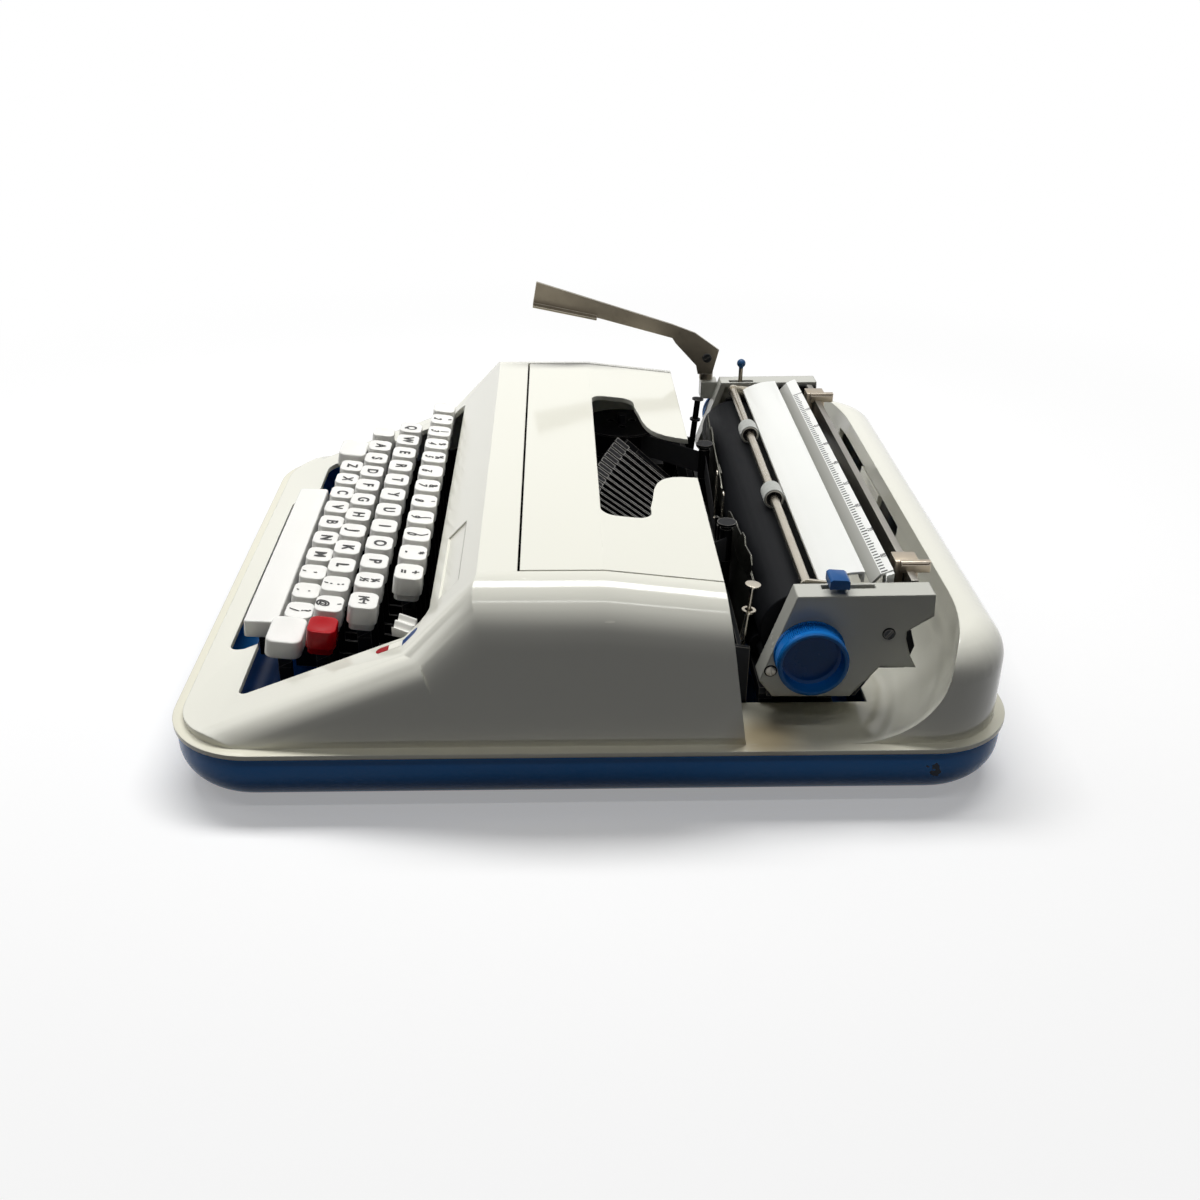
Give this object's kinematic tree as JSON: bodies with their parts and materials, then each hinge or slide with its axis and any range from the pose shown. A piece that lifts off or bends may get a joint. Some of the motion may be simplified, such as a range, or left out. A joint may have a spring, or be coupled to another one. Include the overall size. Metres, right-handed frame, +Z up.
{
  "type": "manual typewriter",
  "caption": "Portable manual typewriter: moulded grey case on a blue base, white keys, type basket under a hinged cover, and a travelling carriage with platen, bail, knobs and return lever",
  "frame": {"origin": "on the table, below the middle of the case", "axes": "+X is the typist's right, +Y the back, +Z up"},
  "size_m": [0.324, 0.353, 0.1423],
  "materials": {
    "case_grey": "glossy moulded plastic",
    "base_blue": "satin moulded plastic",
    "bright_blue": "glossy moulded plastic",
    "key_white": "double-shot moulded plastic",
    "key_red": "moulded plastic",
    "black_rubber": "hard ground rubber",
    "grey_rubber": "knurled rubber",
    "nickel": "nickel plated steel",
    "bright_steel": "ground steel",
    "frame_steel": "dark stove enamel",
    "black_steel": "blackened steel",
    "type_steel": "hardened steel",
    "white_metal": "white satin enamel",
    "brass": "plain brass",
    "ribbon_cloth": "inked cotton tape"
  },
  "bodies": {
    "chassis": {"base_tray": "base_blue", "rubber_feet": "black_rubber", "case_screws": "nickel", "body_shell": "case_grey", "side_frames": "frame_steel", "cross_bar": "frame_steel", "fulcrum_rod": "bright_steel", "type_guide": "bright_steel", "ribbon_posts": "black_steel", "ribbon_pins": "nickel", "card_plates": "frame_steel", "spool_brackets": "frame_steel", "ribbon": "ribbon_cloth", "carriage_rails": "bright_steel"},
    "basket": {"type_segment": "black_steel", "type_rest": "black_steel", "type_bars": "type_steel"},
    "typebar_n": {"type_bar_n": "type_steel"},
    "vibrator": {"ribbon_vibrator": "bright_steel"},
    "spool_l": {"spool_left": "nickel"},
    "spool_r": {"spool_right": "nickel"},
    "drum": {"spring_drum": "bright_steel"},
    "escapement": {"escape_wheel": "brass"},
    "cover": {"ribbon_cover": "case_grey"},
    "carriage": {"carriage_bed": "frame_steel", "end_plate_left": "case_grey", "end_plate_right": "case_grey", "plate_screws": "nickel", "toothed_rack": "bright_steel", "paper_table": "white_metal", "paper_scale": "white_metal", "margin_rail": "bright_steel"},
    "stop_l": {"margin_stop_left": "nickel"},
    "stop_r": {"margin_stop_right": "nickel"},
    "bail": {"paper_bail": "nickel"},
    "bail_wheel_l": {"bail_roller_left": "grey_rubber"},
    "bail_wheel_r": {"bail_roller_right": "grey_rubber"},
    "platen_unit": {"platen": "black_rubber", "platen_shaft": "bright_steel", "knob_left": "bright_blue", "knob_right": "bright_blue", "ratchet_wheel": "brass"},
    "feed_f": {"feed_roller_front": "black_rubber"},
    "feed_r": {"feed_roller_rear": "black_rubber"},
    "returner": {"return_lever": "nickel"},
    "release": {"paper_release": "bright_blue"},
    "line_space": {"line_space_lever": "bright_blue"},
    "row_1": {"keys_row_1": "key_white"},
    "row_2": {"keys_row_2": "key_white"},
    "row_3": {"keys_row_3": "key_white"},
    "row_4": {"keys_row_4": "key_white"},
    "n_key": {"key_n": "key_white"},
    "backspace": {"backspace_key": "key_white"},
    "margin_release": {"margin_release_key": "key_white"},
    "tab": {"tab_key": "key_red"},
    "shift": {"shift_keys": "key_white"},
    "lock": {"shift_lock": "key_white"},
    "space": {"space_bar": "key_white"},
    "selector": {"colour_selector": "key_white"}
  },
  "joints": [
    {"name": "cover_hinge", "type": "hinge", "parent": "chassis", "child": "cover", "pos_m": [0, -0.0275, 0.095], "axis": [-1, 0, 0], "range_deg": [-100, 0]},
    {"name": "spool_left_turn", "type": "hinge", "parent": "chassis", "child": "spool_l", "pos_m": [-0.095, 0.022, 0.067], "axis": [0, 0, 1], "continuous": true},
    {"name": "spool_right_turn", "type": "hinge", "parent": "chassis", "child": "spool_r", "pos_m": [0.095, 0.022, 0.067], "axis": [0, 0, 1], "continuous": true},
    {"name": "carriage_travel", "type": "slide", "parent": "chassis", "child": "carriage", "axis": [1, 0, 0], "range_m": [-0.11, 0.11]},
    {"name": "drum_turn", "type": "hinge", "parent": "chassis", "child": "drum", "pos_m": [-0.06, 0.088, 0.012], "axis": [0, 0, 1], "continuous": true},
    {"name": "escape_turn", "type": "hinge", "parent": "chassis", "child": "escapement", "pos_m": [0.02, 0.088, 0.012], "axis": [0, 0, 1], "continuous": true},
    {"name": "margin_left", "type": "slide", "parent": "carriage", "child": "stop_l", "axis": [1, 0, 0], "range_m": [-0.012, 0.095]},
    {"name": "margin_right", "type": "slide", "parent": "carriage", "child": "stop_r", "axis": [1, 0, 0], "range_m": [-0.095, 0.008]},
    {"name": "bail_swing", "type": "hinge", "parent": "carriage", "child": "bail", "pos_m": [0, 0.116, 0.08], "axis": [-1, 0, 0], "range_deg": [0, 45]},
    {"name": "bail_wheel_left", "type": "hinge", "parent": "bail", "child": "bail_wheel_l", "pos_m": [-0.056, 0.0876, 0.0841], "axis": [1, 0, 0], "continuous": true},
    {"name": "bail_wheel_right", "type": "hinge", "parent": "bail", "child": "bail_wheel_r", "pos_m": [0.029, 0.0876, 0.0841], "axis": [1, 0, 0], "continuous": true},
    {"name": "platen_turn", "type": "hinge", "parent": "carriage", "child": "platen_unit", "pos_m": [0, 0.08785, 0.0616], "axis": [1, 0, 0], "continuous": true},
    {"name": "feed_front_turn", "type": "hinge", "parent": "carriage", "child": "feed_f", "pos_m": [0, 0.07475, 0.04294], "axis": [1, 0, 0], "continuous": true},
    {"name": "feed_rear_turn", "type": "hinge", "parent": "carriage", "child": "feed_r", "pos_m": [0, 0.10095, 0.04294], "axis": [1, 0, 0], "continuous": true},
    {"name": "return_swing", "type": "hinge", "parent": "carriage", "child": "returner", "pos_m": [-0.1445, 0.074, 0.09], "axis": [0, 0, 1], "range_deg": [0, 40], "stiffness_Nm_per_rad": 0.05, "springref_deg": -20.05},
    {"name": "release_pull", "type": "hinge", "parent": "carriage", "child": "release", "pos_m": [0.13, 0.103, 0.066], "axis": [1, 0, 0], "range_deg": [0, 12]},
    {"name": "line_space_set", "type": "hinge", "parent": "carriage", "child": "line_space", "pos_m": [-0.13, 0.093, 0.07], "axis": [1, 0, 0], "range_deg": [-8, 8]},
    {"name": "row_1_press", "type": "hinge", "parent": "chassis", "child": "row_1", "pos_m": [0, 0.06, 0.034], "axis": [1, 0, 0], "range_deg": [0, 5.1], "stiffness_Nm_per_rad": 2.4, "springref_deg": -3},
    {"name": "row_2_press", "type": "hinge", "parent": "chassis", "child": "row_2", "pos_m": [0, 0.06, 0.034], "axis": [1, 0, 0], "range_deg": [0, 4.5], "stiffness_Nm_per_rad": 2.6, "springref_deg": -3},
    {"name": "row_3_press", "type": "hinge", "parent": "chassis", "child": "row_3", "pos_m": [0, 0.06, 0.034], "axis": [1, 0, 0], "range_deg": [0, 4.1], "stiffness_Nm_per_rad": 2.8, "springref_deg": -3},
    {"name": "row_4_press", "type": "hinge", "parent": "chassis", "child": "row_4", "pos_m": [0, 0.06, 0.034], "axis": [1, 0, 0], "range_deg": [0, 3.75], "stiffness_Nm_per_rad": 2.6, "springref_deg": -3},
    {"name": "n_press", "type": "hinge", "parent": "chassis", "child": "n_key", "pos_m": [0, 0.06, 0.034], "axis": [1, 0, 0], "range_deg": [0, 3.75], "stiffness_Nm_per_rad": 0.6, "springref_deg": -3},
    {"name": "backspace_press", "type": "hinge", "parent": "chassis", "child": "backspace", "pos_m": [0, 0.06, 0.034], "axis": [1, 0, 0], "range_deg": [0, 5.1], "stiffness_Nm_per_rad": 0.6, "springref_deg": -3},
    {"name": "margin_release_press", "type": "hinge", "parent": "chassis", "child": "margin_release", "pos_m": [0, 0.06, 0.034], "axis": [1, 0, 0], "range_deg": [0, 4.5], "stiffness_Nm_per_rad": 0.6, "springref_deg": -3},
    {"name": "tab_press", "type": "hinge", "parent": "chassis", "child": "tab", "pos_m": [0, 0.06, 0.034], "axis": [1, 0, 0], "range_deg": [0, 4.1], "stiffness_Nm_per_rad": 0.6, "springref_deg": -3},
    {"name": "shift_press", "type": "hinge", "parent": "chassis", "child": "shift", "pos_m": [0, 0.06, 0.034], "axis": [1, 0, 0], "range_deg": [0, 3.75], "stiffness_Nm_per_rad": 1.6, "springref_deg": -3},
    {"name": "lock_press", "type": "hinge", "parent": "chassis", "child": "lock", "pos_m": [0, 0.06, 0.034], "axis": [1, 0, 0], "range_deg": [0, 4.1], "stiffness_Nm_per_rad": 0.6, "springref_deg": -3},
    {"name": "space_press", "type": "hinge", "parent": "chassis", "child": "space", "pos_m": [0, 0.06, 0.034], "axis": [1, 0, 0], "range_deg": [0, 3.4], "stiffness_Nm_per_rad": 1.6, "springref_deg": -3},
    {"name": "colour_set", "type": "hinge", "parent": "chassis", "child": "selector", "pos_m": [0.125, -0.078, 0.034], "axis": [1, 0, 0], "range_deg": [-7, 7]},
    {"name": "basket_shift", "type": "slide", "parent": "chassis", "child": "basket", "axis": [0, 0, 1], "range_m": [-0.0055, 0]},
    {"name": "type_swing", "type": "hinge", "parent": "basket", "child": "typebar_n", "pos_m": [0, 0.03349, 0.02484], "axis": [1, 0, 0], "range_deg": [-100, 0]},
    {"name": "vibrator_lift", "type": "slide", "parent": "chassis", "child": "vibrator", "axis": [0, 0, 1], "range_m": [0, 0.008]}
  ],
  "couplings": [
    {"joint": "spool_right_turn", "follows": "spool_left_turn", "ratio": 1},
    {"joint": "drum_turn", "follows": "carriage_travel", "rad_per_m": -50},
    {"joint": "escape_turn", "follows": "carriage_travel", "rad_per_m": -71.43},
    {"joint": "feed_front_turn", "follows": "platen_turn", "ratio": -3.5},
    {"joint": "feed_rear_turn", "follows": "platen_turn", "ratio": -3.5},
    {"joint": "basket_shift", "follows": "shift_press", "m_per_rad": -0.08403},
    {"joint": "type_swing", "follows": "n_press", "ratio": -26.667},
    {"joint": "vibrator_lift", "follows": "n_press", "m_per_rad": 0.12223}
  ]
}
